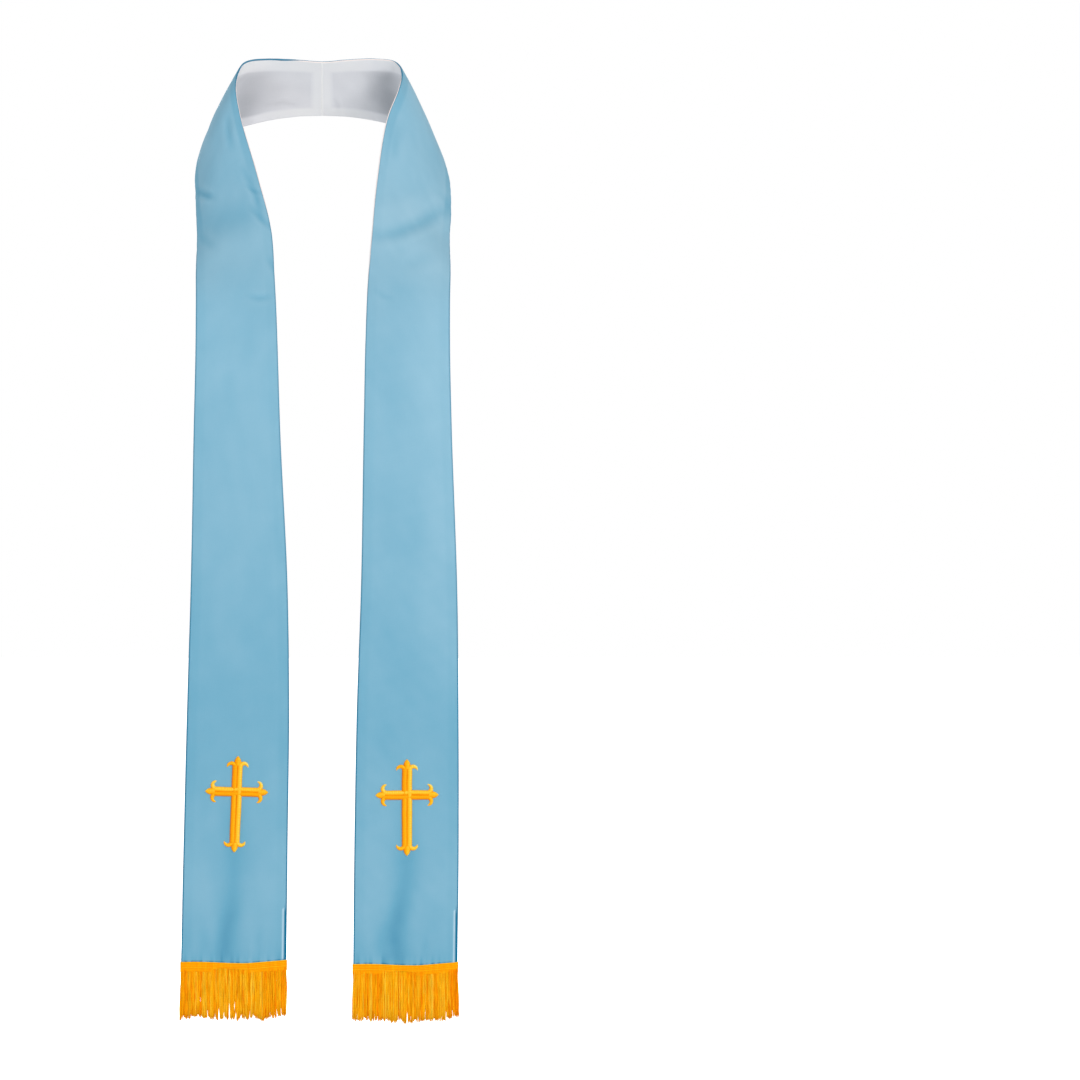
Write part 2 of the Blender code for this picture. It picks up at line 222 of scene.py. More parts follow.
def crease_height(side, run, across):
    """How far the listed creases lift the cloth out of its plain form."""
    base = bent(run, across)
    x = base[..., 0] * (1 if side == "left" else -1)
    width = cloth_width(run)
    place = across * width
    up = HALF_LENGTH - run
    from_left = width - place if side == "left" else place
    front = smooth(120 * MM, 160 * MM, run)
    lift = np.zeros(run.shape)
    for table, u, w, share in ((FRONT_CREASES, x, base[..., 2], front), (BAND_CREASES, run, place, 1),
                               (HEM_CREASES, from_left, up, 1)):
        for half, depth, wide, line in table:
            if half == side:
                lift += share * crease(u, w, depth, wide, line)
    top, shift = LONG_HOLLOW[side]
    drift = top - shift * (1 - smooth(35 * MM, 115 * MM, up))
    dip = bell(from_left, drift * width, LONG_HOLLOW_SPREAD) * (1 - smooth(110 * MM, 250 * MM, up))
    return lift - LONG_HOLLOW_DEPTH * dip * smooth(0, 40 * MM, up + 25 * MM)


def gathering(side, place):
    """Gathers of the hem at places across it, as waves of 6 to 11 mm, about -1 to 1."""
    return slow_waves(31 if side == "left" else 32, place, 0 * place, 11, 6, 6)


def fold_height(side, run, across):
    """How far the cloth is lifted in all: creases, soft waves, and puckered edges and hem."""
    width = cloth_width(run)
    place = across * width
    up = HALF_LENGTH - run
    seed = 11 if side == "left" else 12
    lift = crease_height(side, run, across)
    lift += WAVE_HEIGHT * slow_waves(seed, run, 1.6 * place, 300, 110)
    lift += RIPPLE_HEIGHT * slow_waves(seed + 10, run, place, 60, 26) * smooth(0, 30 * MM, up)
    lift += GATHER_HEIGHT * gathering(side, place) * np.exp(-up / (5.5 * MM))
    for edge, depth in ((0, place), (1, width - place)):
        pucker = slow_waves(seed + 30 + edge, run, 0 * run, 26, 8, 10)
        lift += PUCKER_HEIGHT * pucker * bell(depth, 0, 6 * MM)
    return lift * smooth(-2 * MM, 14 * MM, run)


HEM_DROP = {"left": 0.0, "right": 2.6 * MM}      # the right end hangs a little lower
HEM_PLACES = (0.0, 0.10, 0.25, 0.45, 0.62, 0.80, 1.0)    # shares of the width from the left
HEM_RISES = (-0.9, -0.5, -0.7, -2.2, -2.4, -0.4, 1.6)    # how far the hem rises there, in mm
HEM_WAVE_REACH = 45 * MM                         # how far above the hem its wave is felt
NAPE_SHIFT = 1.6 * MM                            # the centre seam sits this far right of the middle
NAPE_REACH = 50 * MM


def hem_wave(side, across):
    """Rise of the hem across the cloth, in metres: low in the middle, higher at the right edge."""
    share = 1 - across if side == "left" else across
    knots = np.linspace(-0.05, 1.05, 111)
    rough = np.interp(knots, HEM_PLACES, HEM_RISES)
    window = np.hanning(17)
    soft = np.convolve(np.pad(rough, 8, mode="edge"), window / window.sum(), "valid")
    return MM * np.interp(share, knots, soft)


def cloth(side, run, across, out):
    """Points of a half at a run and a place across, moved out along the normal, blue side positive.

    The plain surface plus its normal times the distance out and the folds; then the sway, the shift at
    the nape, the drop of the right end and the wave of the hem.
    """
    run, across, out = np.broadcast_arrays(*(np.asarray(a, float) for a in (run, across, out)))
    h = 0.5 * MM
    along = bent(np.minimum(run + h, HALF_LENGTH), across) - bent(np.maximum(run - h, 0), across)
    sideways = bent(run, across + 0.01) - bent(run, across - 0.01)
    normal = np.cross(sideways, along)
    normal = normal / np.linalg.norm(normal, axis=-1, keepdims=True)
    out = out + fold_height(side, run, across)
    point = bent(run, across) + normal * out[..., None]
    point[..., 0] = np.minimum(point[..., 0], -0.02 * MM)    # neither half crosses the centre seam
    values = section(run)
    sway = values[..., 6] * (1 - across) + values[..., 7] * across
    if side == "right":
        point[..., 0] *= -1
    point[..., 0] += sway + NAPE_SHIFT * bell(run, 0, NAPE_REACH)
    wave = hem_wave(side, across) * smooth(HALF_LENGTH - HEM_WAVE_REACH, HALF_LENGTH, run)
    point[..., 2] += wave - HEM_DROP[side] * (run / HALF_LENGTH) ** 2
    return point


# Mesh and material helpers

def srgb(code):
    """Linear RGBA of a hex sRGB colour."""
    value = np.array([int(code[i:i + 2], 16) for i in (1, 3, 5)]) / 255.0
    linear = np.where(value <= 0.04045, value / 12.92, ((value + 0.055) / 1.055) ** 2.4)
    return (*linear, 1.0)


def inside_out(points, faces):
    """Whether closed shells wound alike face inwards: their volume, a sum over triangles, is negative."""
    fans = [(face[0], face[k], face[k + 1]) for face in faces for k in range(1, len(face) - 1)]
    a, b, c = np.moveaxis(points[np.array(fans)] - points.mean(axis=0), 1, 0)
    return np.einsum("ij,ij->", a, np.cross(b, c)) < 0


def add_piece(name, points, faces, material, uv=None, values=None):
    """A smooth-shaded mesh of closed shells wound alike, turned outwards, riding on the stole.

    uv is a pair of metres for each point; values are named numbers for each point.
    """
    if inside_out(points, faces):
        faces = [face[::-1] for face in faces]
    mesh = bpy.data.meshes.new(name)
    mesh.from_pydata(points.tolist(), [], faces)
    mesh.materials.append(material)
    mesh.polygons.foreach_set("use_smooth", np.ones(len(faces), bool))
    if uv is not None:
        layer = mesh.uv_layers.new(name="cloth")
        corners = np.empty(len(mesh.loops), np.int32)
        mesh.loops.foreach_get("vertex_index", corners)
        layer.data.foreach_set("uv", uv[corners].astype(np.float32).ravel())
    for key, numbers in (values or {}).items():
        mesh.attributes.new(key, "FLOAT", "POINT").data.foreach_set("value", numbers.astype(np.float32))
    mesh.update()
    piece = bpy.data.objects.new(name, mesh)
    bpy.context.scene.collection.objects.link(piece)
    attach(piece, "root")
    return piece


def shell_faces(rows, columns):
    """Quads of two like grids of points, one after the other, and of the rim that joins them."""
    count = rows * columns
    index = np.arange(count).reshape(rows, columns)
    a = index[:-1, :-1].ravel()
    quads = np.stack([a, a + 1, a + columns + 1, a + columns], -1)
    loop = np.concatenate([index[0, :-1], index[:-1, -1], index[-1, :0:-1], index[:0:-1, 0]])
    rim = np.stack([loop + count, np.roll(loop, -1) + count, np.roll(loop, -1), loop], -1)
    return np.vstack([quads, quads[:, ::-1] + count, rim]).tolist()


def tube_faces(rings, sides, start=0):
    """Quads round a tube of rings of points whose first index is start, and one face over each end."""
    r, c = np.meshgrid(np.arange(rings - 1), np.arange(sides), indexing="ij")
    a = (start + r * sides + c).ravel()
    b = (start + r * sides + (c + 1) % sides).ravel()
    quads = np.stack([a, b, b + sides, a + sides], -1).tolist()
    last = start + (rings - 1) * sides
    return quads + [list(range(start, start + sides))[::-1], list(range(last, last + sides))]


def many(faces, each, count):
    """The same faces for count copies, each with its own points."""
    return [[k * each + i for i in face] for k in range(count) for face in faces]


def node(tree, kind, settings=None, stops=(), **links):
    """Add a shader node, set its properties and its ramp's (place, hex) stops, then its inputs.

    An input is given by its name, with underscores for spaces, or as _0 and so on by its number. It is
    linked where the value is another node's output, and set otherwise.
    """
    made = tree.nodes.new("ShaderNode" + kind)
    for key, value in (settings or {}).items():
        setattr(made, key, value)
    for k, (place, code) in enumerate(stops):
        band = made.color_ramp.elements
        stop = band[k] if k < len(band) else band.new(place)
        stop.position = place
        stop.color = srgb(code)
    for key, value in links.items():
        name = key.replace("_", " ")
        socket = made.inputs[int(key[1:])] if key[1:].isdigit() else made.inputs[name]
        if isinstance(value, bpy.types.NodeSocket):
            tree.links.new(value, socket)
        else:
            socket.default_value = value
    return made


def blank(name):
    """A new material with no nodes yet, and its tree."""
    made = bpy.data.materials.new(name)
    made.use_nodes = True
    made.node_tree.nodes.clear()
    return made, made.node_tree


THREAD_DRAWN = 0.5 * MM        # threads of satin are 0.12 mm apart, and are drawn this coarse to show


def satin(name, tones, edge_code, roughness, sheen_code):
    """Polyester satin, woven with long floats and pressed: a soft broad gloss that follows the folds.

    Its colour carries painted light and shade (tone) and turns to another on the pressed edge (edge),
    which on the blue is painted shade. It has faint thick and thin threads, 17 mm long down the cloth
    and 9 mm across it, and clouds 45 mm wide.
    """
    made, tree = blank(name)
    uv = node(tree, "UVMap", {"uv_map": "cloth"}).outputs["UV"]
    tone = node(tree, "Attribute", {"attribute_name": "tone"}).outputs["Fac"]
    edge = node(tree, "Attribute", {"attribute_name": "edge"}).outputs["Fac"]
    fine = 1 / THREAD_DRAWN
    warp = node(tree, "Mapping", Vector=uv, Scale=(fine, 60.0, 1.0)).outputs["Vector"]
    weft = node(tree, "Mapping", Vector=uv, Scale=(110.0, fine, 1.0)).outputs["Vector"]
    slub = node(tree, "TexNoise", Vector=warp, Scale=1.0, Detail=2.0).outputs["Fac"]
    cross = node(tree, "TexNoise", Vector=weft, Scale=1.0, Detail=2.0).outputs["Fac"]
    cloud = node(tree, "TexNoise", Vector=uv, Scale=22.0, Detail=4.0, Roughness=0.55).outputs["Fac"]
    threads = node(tree, "Math", {"operation": "ADD"}, _0=slub, _1=cross).outputs[0]
    level = node(tree, "Math", {"operation": "MULTIPLY_ADD"}, _0=tone, _1=0.5, _2=0.4).outputs[0]
    level = node(tree, "Math", {"operation": "MULTIPLY_ADD"}, _0=threads, _1=0.06, _2=level).outputs[0]
    level = node(tree, "Math", {"operation": "MULTIPLY_ADD"}, _0=cloud, _1=0.08, _2=level).outputs[0]
    body = node(tree, "ValToRGB", stops=tones, Fac=level).outputs["Color"]
    colour = node(tree, "Mix", {"data_type": "RGBA"}, _0=edge, _6=body, _7=srgb(edge_code))
    bump = node(tree, "Bump", Height=threads, Strength=0.16, Distance=0.00012)
    tangent = node(tree, "Tangent", {"direction_type": "UV_MAP", "uv_map": "cloth"})
    shader = node(tree, "BsdfPrincipled", Base_Color=colour.outputs[2], Roughness=roughness,
                  IOR=1.5, Anisotropic=0.25, Tangent=tangent.outputs[0], Normal=bump.outputs[0],
                  Sheen_Weight=0.03, Sheen_Roughness=0.4, Sheen_Tint=srgb(sheen_code))
    shader.inputs["Specular IOR Level"].default_value = 0.15
    node(tree, "OutputMaterial", Surface=shader.outputs[0])
    return made


# Lightness ramps of the satin: their dark stops show painted shade and their light stops painted light.
BLUE_TONES = ((0.0, "#4C90AF"), (0.25, "#69A6C0"), (0.5, "#85B5CB"), (0.75, "#9BC3D6"), (0.93, "#AACDDE"),
              (1.0, "#CFE0E9"))
WHITE_TONES = ((0.0, "#95989E"), (0.25, "#BEBFC4"), (0.5, "#DADADE"), (0.75, "#E6E6E7"), (1.0, "#F0F0F0"))
# The blue's deep edge colour is painted shade on its rolled edges, its hem and the turned-under strip.
BLUE_SATIN = satin("light_blue_polyester_satin", BLUE_TONES, "#006C90", 0.48, "#DCEFF8")
WHITE_SATIN = satin("white_polyester_satin", WHITE_TONES, "#FBEAE4", 0.5, "#FFFFFF")


def gold_thread(name, tones, roughness, gloss, fuzz, pitch, depth):
    """Trilobal rayon thread laid side by side: bright gold, glossy across the stitches.

    Threads lie about 0.4 mm apart. They are drawn coarser so that they show: one pitch apart in the
    colour and two in the bump. The cloth map runs across them.
    """
    made, tree = blank(name)
    uv = node(tree, "UVMap", {"uv_map": "cloth"}).outputs["UV"]
    tone = node(tree, "Attribute", {"attribute_name": "tone"}).outputs["Fac"]
    lay = node(tree, "Mapping", Vector=uv, Scale=(120.0, 1.0 / pitch, 1.0)).outputs["Vector"]
    grain = node(tree, "TexNoise", Vector=lay, Scale=1.0, Detail=1.0).outputs["Fac"]
    stitch = node(tree, "TexWave", {"bands_direction": "Y"}, Vector=uv,
                  Scale=0.05 * np.pi / pitch, Distortion=0.6, Detail=1.0)
    level = node(tree, "Math", {"operation": "MULTIPLY_ADD"}, _0=grain, _1=0.5, _2=-0.25)
    level = node(tree, "Math", {"operation": "ADD"}, _0=level.outputs[0], _1=tone)
    body = node(tree, "ValToRGB", stops=tones, Fac=level.outputs[0]).outputs["Color"]
    bump = node(tree, "Bump", Height=stitch.outputs["Fac"], Strength=0.5, Distance=depth)
    shader = node(tree, "BsdfPrincipled", Base_Color=body, Roughness=roughness, IOR=1.5,
                  Normal=bump.outputs[0], Specular_Tint=srgb("#FFC860"), Specular_IOR_Level=gloss,
                  Sheen_Weight=fuzz, Sheen_Roughness=0.5, Sheen_Tint=srgb("#FFAC1A"))
    node(tree, "OutputMaterial", Surface=shader.outputs[0])
    return made


GOLD_TONES = ((0.0, "#E87C00"), (0.25, "#F99500"), (0.5, "#FFAD08"), (0.75, "#FFC832"), (1.0, "#FFE684"))
EMBROIDERY = gold_thread("gold_rayon_satin_stitch", GOLD_TONES, 0.38, 0.5, 0.25, 0.8 * MM, 0.0002)
FRINGE_TONES = ((0.0, "#FF8C00"), (0.35, "#FFA503"), (0.6, "#FFB40A"), (0.85, "#FFC022"), (1.0, "#FFCC3A"))
FRINGE_YARN = gold_thread("gold_twisted_rayon_yarn", FRINGE_TONES, 0.6, 0.2, 0.6, 0.9 * MM, 0.00015)


def plain_thread(name, dark, light):
    """Polyester sewing thread, twisted: a dull sheen with a fine slanted ply.

    The ply of real thread is 0.3 mm long, and is drawn at 0.7 mm so that it shows.
    """
    made, tree = blank(name)
    place = node(tree, "TexCoord").outputs["Object"]
    ply = node(tree, "TexWave", {"bands_direction": "DIAGONAL"}, Vector=place, Scale=900.0)
    shades = node(tree, "ValToRGB", stops=((0.0, dark), (1.0, light)), Fac=ply.outputs["Fac"])
    bump = node(tree, "Bump", Height=ply.outputs["Fac"], Strength=0.3, Distance=0.0001)
    shader = node(tree, "BsdfPrincipled", Base_Color=shades.outputs["Color"],
                  Roughness=0.6, Normal=bump.outputs[0])
    node(tree, "OutputMaterial", Surface=shader.outputs[0])
    return made


BLUE_THREAD = plain_thread("blue_sewing_thread", "#1F70A6", "#378CBE")
WHITE_THREAD = plain_thread("white_sewing_thread", "#E4E2E2", "#F6F4F3")


# Satin halves

EDGE_ROLL = 2.2 * MM       # how far the pressed edge curves in from the flat
SHELL_WALL = 0.45 * MM
ROLL_STEPS = 7             # points round each rolled edge, and across the flat between them
FLAT_STEPS = 54
ROW_STEP = 3.0 * MM
HEM_EASE = 1.8 * MM        # the skins draw together over these lengths, at the hem and at the seam
SEAM_EASE = 1.6 * MM
STRIP_HEIGHT = 65 * MM     # the turned-under strip low on each end's right-hand edge; its dark colour is painted shade
STRIP_WIDTH = 3.0 * MM
STRIP_SINK = 0.5 * MM
HIGHLIGHT_LINE = 2.2 * MM      # width of the painted highlight beside the strip
# Where the seam lies on each rolled edge, as (run in mm, degrees round the edge): 0 on the very edge,
# above 0 the white wraps on to the blue side, below 0 the blue wraps on to the white side.
SEAM_TURN = {
    ("left", 0): ((0, -6), (28, -14), (48, -84), (146, -80), (166, -10), (180, 20), (205, 40), (330, 50),
                  (380, -10), (640, -18), (1160, -14), (1215, -50), (1300, -55)),
    ("left", 1): ((0, 74), (96, 78), (124, 10), (168, 0), (195, -20), (255, -30), (430, -22), (700, -14),
                  (900, -20), (1300, -20)),
    ("right", 0): ((0, -4), (102, -4), (118, -50), (148, -50), (164, 20), (200, 55), (400, 62), (470, 8),
                   (640, -14), (1160, -14), (1215, -45), (1300, -50)),
    ("right", 1): ((0, 74), (96, 78), (122, 10), (160, -25), (255, -30), (430, -22), (700, -12),
                   (1160, -14), (1215, -50), (1300, -55)),
}


def seam_turn(side, edge, run):
    """Angle of the seam round the rolled edge at a run, wandering a little."""
    table = np.array(SEAM_TURN[side, edge], float)
    turn = np.interp(run / MM, table[:, 0], table[:, 1])
    seed = 60 + 2 * edge + (side == "right")
    return np.radians(turn + 6 * slow_waves(seed, run, 0 * run, 90, 30, 8))


def rolled_edge(turn, sign, wall):
    """Distance from the edge and out of the cloth along one rolled edge, from its seam inwards.

    A quarter ellipse that starts at the seam's angle, drawn in a little beside the seam.
    """
    start = turn[:, None] + sign * 0.05
    t = np.linspace(0, 1, ROLL_STEPS)[None, :]
    angle = start + (sign * np.pi / 2 - start) * t
    ditch = 1 - 0.2 * bell(angle, turn[:, None], 0.25)
    depth = EDGE_ROLL - (EDGE_ROLL - wall) * np.cos(angle) * ditch
    return depth, (FACE_OUT - wall) * np.sin(angle) * ditch


def panel_runs():
    """Rows down the cloth: even steps, closer at the centre seam and at the hem."""
    ends = np.array([0.0, 0.25, 0.6, 1.1, 1.8]) * MM
    middle = np.linspace(3 * MM, HALF_LENGTH - 3 * MM, int(HALF_LENGTH / ROW_STEP))
    return np.concatenate([ends, middle, HALF_LENGTH - ends[::-1]])


def panel_sheet(side, sign, wall):
    """One skin of a satin half as (run, across, out) grids; wall is how far inside the skin lies."""
    runs = panel_runs()
    width = cloth_width(runs)
    near, near_out = rolled_edge(seam_turn(side, 0, runs), sign, wall)
    far, far_out = rolled_edge(seam_turn(side, 1, runs), sign, wall)
    flat = np.linspace(0, 1, FLAT_STEPS + 2)[None, 1:-1]
    flat = EDGE_ROLL + (width[:, None] - 2 * EDGE_ROLL) * flat
    place = np.hstack([near, flat, width[:, None] - far[:, ::-1]])
    out = np.hstack([near_out, np.full(flat.shape, sign * (FACE_OUT - wall)), far_out[:, ::-1]])
    at_hem = 1 - np.clip((HALF_LENGTH - runs) / HEM_EASE, 0, 1)
    at_seam = 1 - np.clip(runs / SEAM_EASE, 0, 1)
    drawn_in = 0.8 if sign > 0 else 0.2
    out = out * np.sqrt((1 - 0.97 * at_hem ** 2) * (1 - drawn_in * at_seam ** 2))[:, None]
    return np.broadcast_to(runs[:, None], place.shape), place / width[:, None], out


def turned_strip(side, run, across):
    """How much of the turned-under strip shows at the lower end of the right-hand edge; its dark colour is
    painted shade.
    """
    from_right = (across if side == "left" else 1 - across) * cloth_width(run)
    top = HALF_LENGTH - STRIP_HEIGHT
    tall = smooth(top - 7 * MM, top + 7 * MM, run)
    return tall * (1 - smooth(STRIP_WIDTH - 0.3 * MM, STRIP_WIDTH + 0.3 * MM, from_right))


# Painted light and shade of the satin by height in mm down the hanging ends: of the blue side's two
# ends, as seen from the front, and of the white side.
END_LIGHT_AND_SHADE = {
    "left": ((-1100, -0.34), (-1061, -0.22), (-1024, -0.12), (-988, -0.16), (-829, -0.34), (-780, -0.32),
             (-659, -0.16), (-537, -0.02), (-415, -0.04), (-293, 0.0), (-244, 0.14), (-180, 0.04),
             (-122, 0.0), (-60, 0.06)),
    "right": ((-1100, -0.38), (-1061, -0.26), (-1024, -0.12), (-988, -0.12), (-829, -0.34), (-780, -0.28),
              (-659, -0.18), (-537, -0.04), (-415, 0.02), (-293, 0.12), (-244, 0.36), (-180, 0.28),
              (-122, 0.20), (-60, 0.1)),
    "white": ((-1100, -0.42), (-1000, -0.36), (-700, -0.36), (-440, -0.27), (-300, -0.24), (-200, -0.30),
              (-120, -0.22), (-60, 0.0)),
}


def end_light_and_shade(key, height):
    """Painted light and shade read from a height table, in metres."""
    heights, tones = np.array(END_LIGHT_AND_SHADE[key], float).T
    return np.interp(height, heights * MM, tones)


def neck_band(run):
    """1 on the neck band, 0 on the hanging ends."""
    return 1 - smooth(110 * MM, 200 * MM, run)


def centre_strip(run):
    """1 where the allowance of the centre seam lies behind the satin."""
    return 1 - smooth(9 * MM, 15 * MM, run)


def allowance(sign, run, across):
    """How much of a seam allowance shows through: along both edges and beside the centre seam."""
    inside = np.minimum(across, 1 - across) * cloth_width(run)
    reach = np.where((across < 0.5) & (sign < 0), 15.0, 10.0) * MM
    edging = (1 - smooth(0, 5 * MM, inside - reach)) * np.where(across > 0.5, 1.0, 0.8)
    near_neck = 1 - smooth(200 * MM, 360 * MM, run)
    return np.maximum(edging * (0.2 + 0.8 * near_neck), 0.8 * centre_strip(run))


def corner_shade(side, run, place):
    """Shade inside the neck band where it turns forward, deepest on the right half."""
    middle, wide, deep, top = (96, 27, 0.52, -0.25) if side == "left" else (84, 24, 0.72, 0.15)
    lower = smooth(8 * MM, 28 * MM, place) * (0.75 + 0.4 * smooth(30 * MM, 60 * MM, place))
    shade = deep * bell(run / MM, middle, wide) * (top + (1 - top) * lower)
    return shade + 0.06 * smooth(20 * MM, 90 * MM, run)


def blue_tone(side, run, across):
    """What the blue side adds: a paler band, darker allowances, painted shade on the hem's gathers, and
    painted light and shade by height.
    """
    height = HALF_LENGTH + HEM_Z - run
    band = neck_band(run)
    gathers = np.minimum(gathering(side, across * cloth_width(run)), 0.2)
    tone = 0.44 * band - (0.36 + 0.12 * band) * allowance(1, run, across)
    # Painted shade and light on the hem's gathers.
    tone += 0.45 * gathers * bell(run, HALF_LENGTH, 9 * MM)
    tone += (1 - band) * end_light_and_shade(side, height)
    if side == "left":
        # Painted light on a patch beside the centre seam on the left half, and a light line close beside
        # the seam.
        tone += 0.3 * bell(run, 32 * MM, 20 * MM) * (1 - centre_strip(run))
        return tone + 0.5 * bell(run, 2.2 * MM, 1.0 * MM)
    # Painted light towards the right-hand edge of the right end, part way down.
    painted_light_span = smooth(-860 * MM, -700 * MM, height) * (1 - smooth(-300 * MM, -250 * MM, height))
    return tone + 0.18 * smooth(0.5, 0.85, across) * painted_light_span * (1 - band)


def white_tone(side, run, across):
    """What the white side adds: lighter allowances and corner shade on the band, the ends' shade."""
    band = neck_band(run)
    shade = corner_shade(side, run, across * cloth_width(run))
    tone = (0.46 * allowance(-1, run, across) - 0.07 - shade) * band
    tone += (1 - band) * end_light_and_shade("white", HALF_LENGTH + HEM_Z - run)
    # Painted highlight along the ridge of the centre seam.
    return tone + 0.7 * (1 - smooth(0.6 * MM, 1.8 * MM, run))


def cloth_tone(side, sign, run, across):
    """Lightness of the satin from -1 to 1: slow clouds, painted shade in troughs and light on ridges, then
    what its side adds.

    On the blue side a painted highlight runs beside the turned-under strip.
    """
    width = cloth_width(run)
    seed = 80 + (side == "right")
    tone = 0.06 * slow_waves(seed, run, 2 * across * width, 260, 70)
    tone += 0.03 * slow_waves(seed + 4, run, across * width, 60, 16)
    # Painted shade in the troughs of the creases and painted light on their ridges.
    folds = np.clip(crease_height(side, run, across) / (3.0 * MM), -0.6, 0.3)
    if sign < 0:
        return np.clip(tone + 0.4 * folds + white_tone(side, run, across), -1, 0.8)
    tone = np.clip(tone + folds + blue_tone(side, run, across), -1, 0.8)
    # Painted highlight: full lightness on a thin line beside the turned-under strip.
    beside = across + (-HIGHLIGHT_LINE if side == "left" else HIGHLIGHT_LINE) / width
    line = (turned_strip(side, run, beside) > 0.5) & (turned_strip(side, run, across) < 0.5)
    return np.where(line, 1.0, tone)


def edge_share(side, sign, run, across):
    """How much of the edge colour shows: along the sewn edges, the gathered hem and the strip; on the blue
    side it is painted shade.
    """
    place = across * cloth_width(run)
    inside = np.minimum(across, 1 - across) * cloth_width(run)
    if sign < 0:
        neck_side = np.where(across < 0.5, 1 + 0.9 * (1 - smooth(300 * MM, 420 * MM, run)), 0.0)
        return np.clip(0.5 * (1 - smooth(0.5 * MM, 2.0 * MM, inside)) * neck_side, 0, 1)
    # Painted shade on the blue's rolled edges, deeper towards the hem, and deeper still where the blue
    # wraps round on the band.
    edge = (0.6 + 0.35 * smooth(700 * MM, 1000 * MM, run)) * (1 - smooth(0.8 * MM, 2.3 * MM, inside))
    wrapped = np.degrees(seam_turn(side, 0, run[:, 0])) < -25
    ridge = (place < 2.1 * MM) & (run < 200 * MM) & wrapped[:, None]
    edge = np.where(ridge, 0.75, edge)
    # Painted shade in the troughs of the hem's gathers, as dashes along the hem.
    hem = np.clip(0.45 - 0.9 * gathering(side, place), 0.1, 0.95)
    hem = hem * (1 - smooth(0.8 * MM, 2.6 * MM, HALF_LENGTH - run))
    return np.clip(np.maximum(np.maximum(edge, hem), turned_strip(side, run, across)), 0, 1)


def satin_half(colour, side, sign, material):
    """A closed thin shell of satin: its outer skin, then its inner one, and the rim between them."""
    skins, maps = [], []
    for wall in (0.0, SHELL_WALL):
        run, across, out = panel_sheet(side, sign, wall)
        if wall:
            out = out * (0.55 + 0.45 * smooth(0, HEM_EASE, np.minimum(run, HALF_LENGTH - run)))
        if sign > 0:
            out = out - np.where(out > 0, STRIP_SINK, 0.0) * turned_strip(side, run, across)
        skins.append(cloth(side, run, across, out).reshape(-1, 3))
        maps.append(np.stack([across * cloth_width(run), run], -1).reshape(-1, 2))
    run, across, _ = panel_sheet(side, sign, 0.0)
    values = {"tone": cloth_tone(side, sign, run, across), "edge": edge_share(side, sign, run, across)}
    values = {key: np.tile(numbers.ravel(), 2) for key, numbers in values.items()}
    faces = shell_faces(*run.shape)
    return add_piece(colour + "_satin_" + side, np.vstack(skins), faces, material,
                     np.vstack(maps), values)


FLAT_SIZE = (float(cloth_width(np.array([HALF_LENGTH]))[0]), float(HALF_LENGTH))
for side in ("left", "right"):
    satin_half("blue", side, 1, BLUE_SATIN)
    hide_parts("face_" + side)
    satin_half("white", side, -1, WHITE_SATIN)
    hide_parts("lining_" + side)


# Embroidered crosses

# One end of a cross arm in mm, as (sideways, back from the tip, half width): a leaf and a petal.
LEAF = ((0.0, 12.5, 2.2), (0.0, 9.6, 3.5), (0.0, 7.0, 4.1), (0.0, 4.6, 3.6), (0.0, 2.2, 2.2),
        (0.0, 0.2, 0.35))
PETAL = ((2.4, 12.6, 2.5), (4.4, 10.2, 2.7), (7.0, 8.9, 2.4), (9.6, 9.3, 2.0), (11.6, 11.0, 1.5),
         (12.7, 13.6, 0.35))
# Each arm: its reach from the crossing in mm, its direction, its half width in mm.
ARMS = (
    (43.0, (0, 1), 5.9),
    (38.0, (-1, 0), 5.4),
    (73.0, (0, -1), 5.9),
    (38.0, (1, 0), 5.4),
)
# Each cross: the satin it lies on, the half, the solid it stands for, the height of its crossing in
# mm, and the seeds of its stitches' lie and of their lightness.
CROSS_PLACES = (
    ("blue", "left", "face_cross_left", -896.0, 35, 19),
    ("blue", "right", "face_cross_right", -898.1, 36, 19),
    ("white", "left", "lining_cross_left", -886.0, 36, 20),
    ("white", "right", "lining_cross_right", -884.2, 37, 20),
)
CROSS_TILT = {"left": 0.022, "right": -0.008}
LIT_FROM = np.array((0.85, 0.5))    # the side of a column that lies this way is the lighter one
COLUMN_ARC = 9                      # points over a column's crown
COLUMN_FOOT = 0.35                  # its base lies this share of the crest below the cloth


def smooth_line(points, count):
    """Catmull-Rom curve of count rows through rows of numbers."""
    points = np.array(points, float)
    padded = np.vstack([2 * points[0] - points[1], points, 2 * points[-1] - points[-2]])
    t = np.linspace(0, len(points) - 1, count)
    k = np.clip(t.astype(int), 0, len(points) - 2)
    f = (t - k)[:, None]
    a, b, c, d = (padded[k + i] for i in range(4))
    bend = (2 * a - 5 * b + 4 * c - d) * f ** 2 + (3 * b - a - 3 * c + d) * f ** 3
    return 0.5 * (2 * b + (c - a) * f + bend)


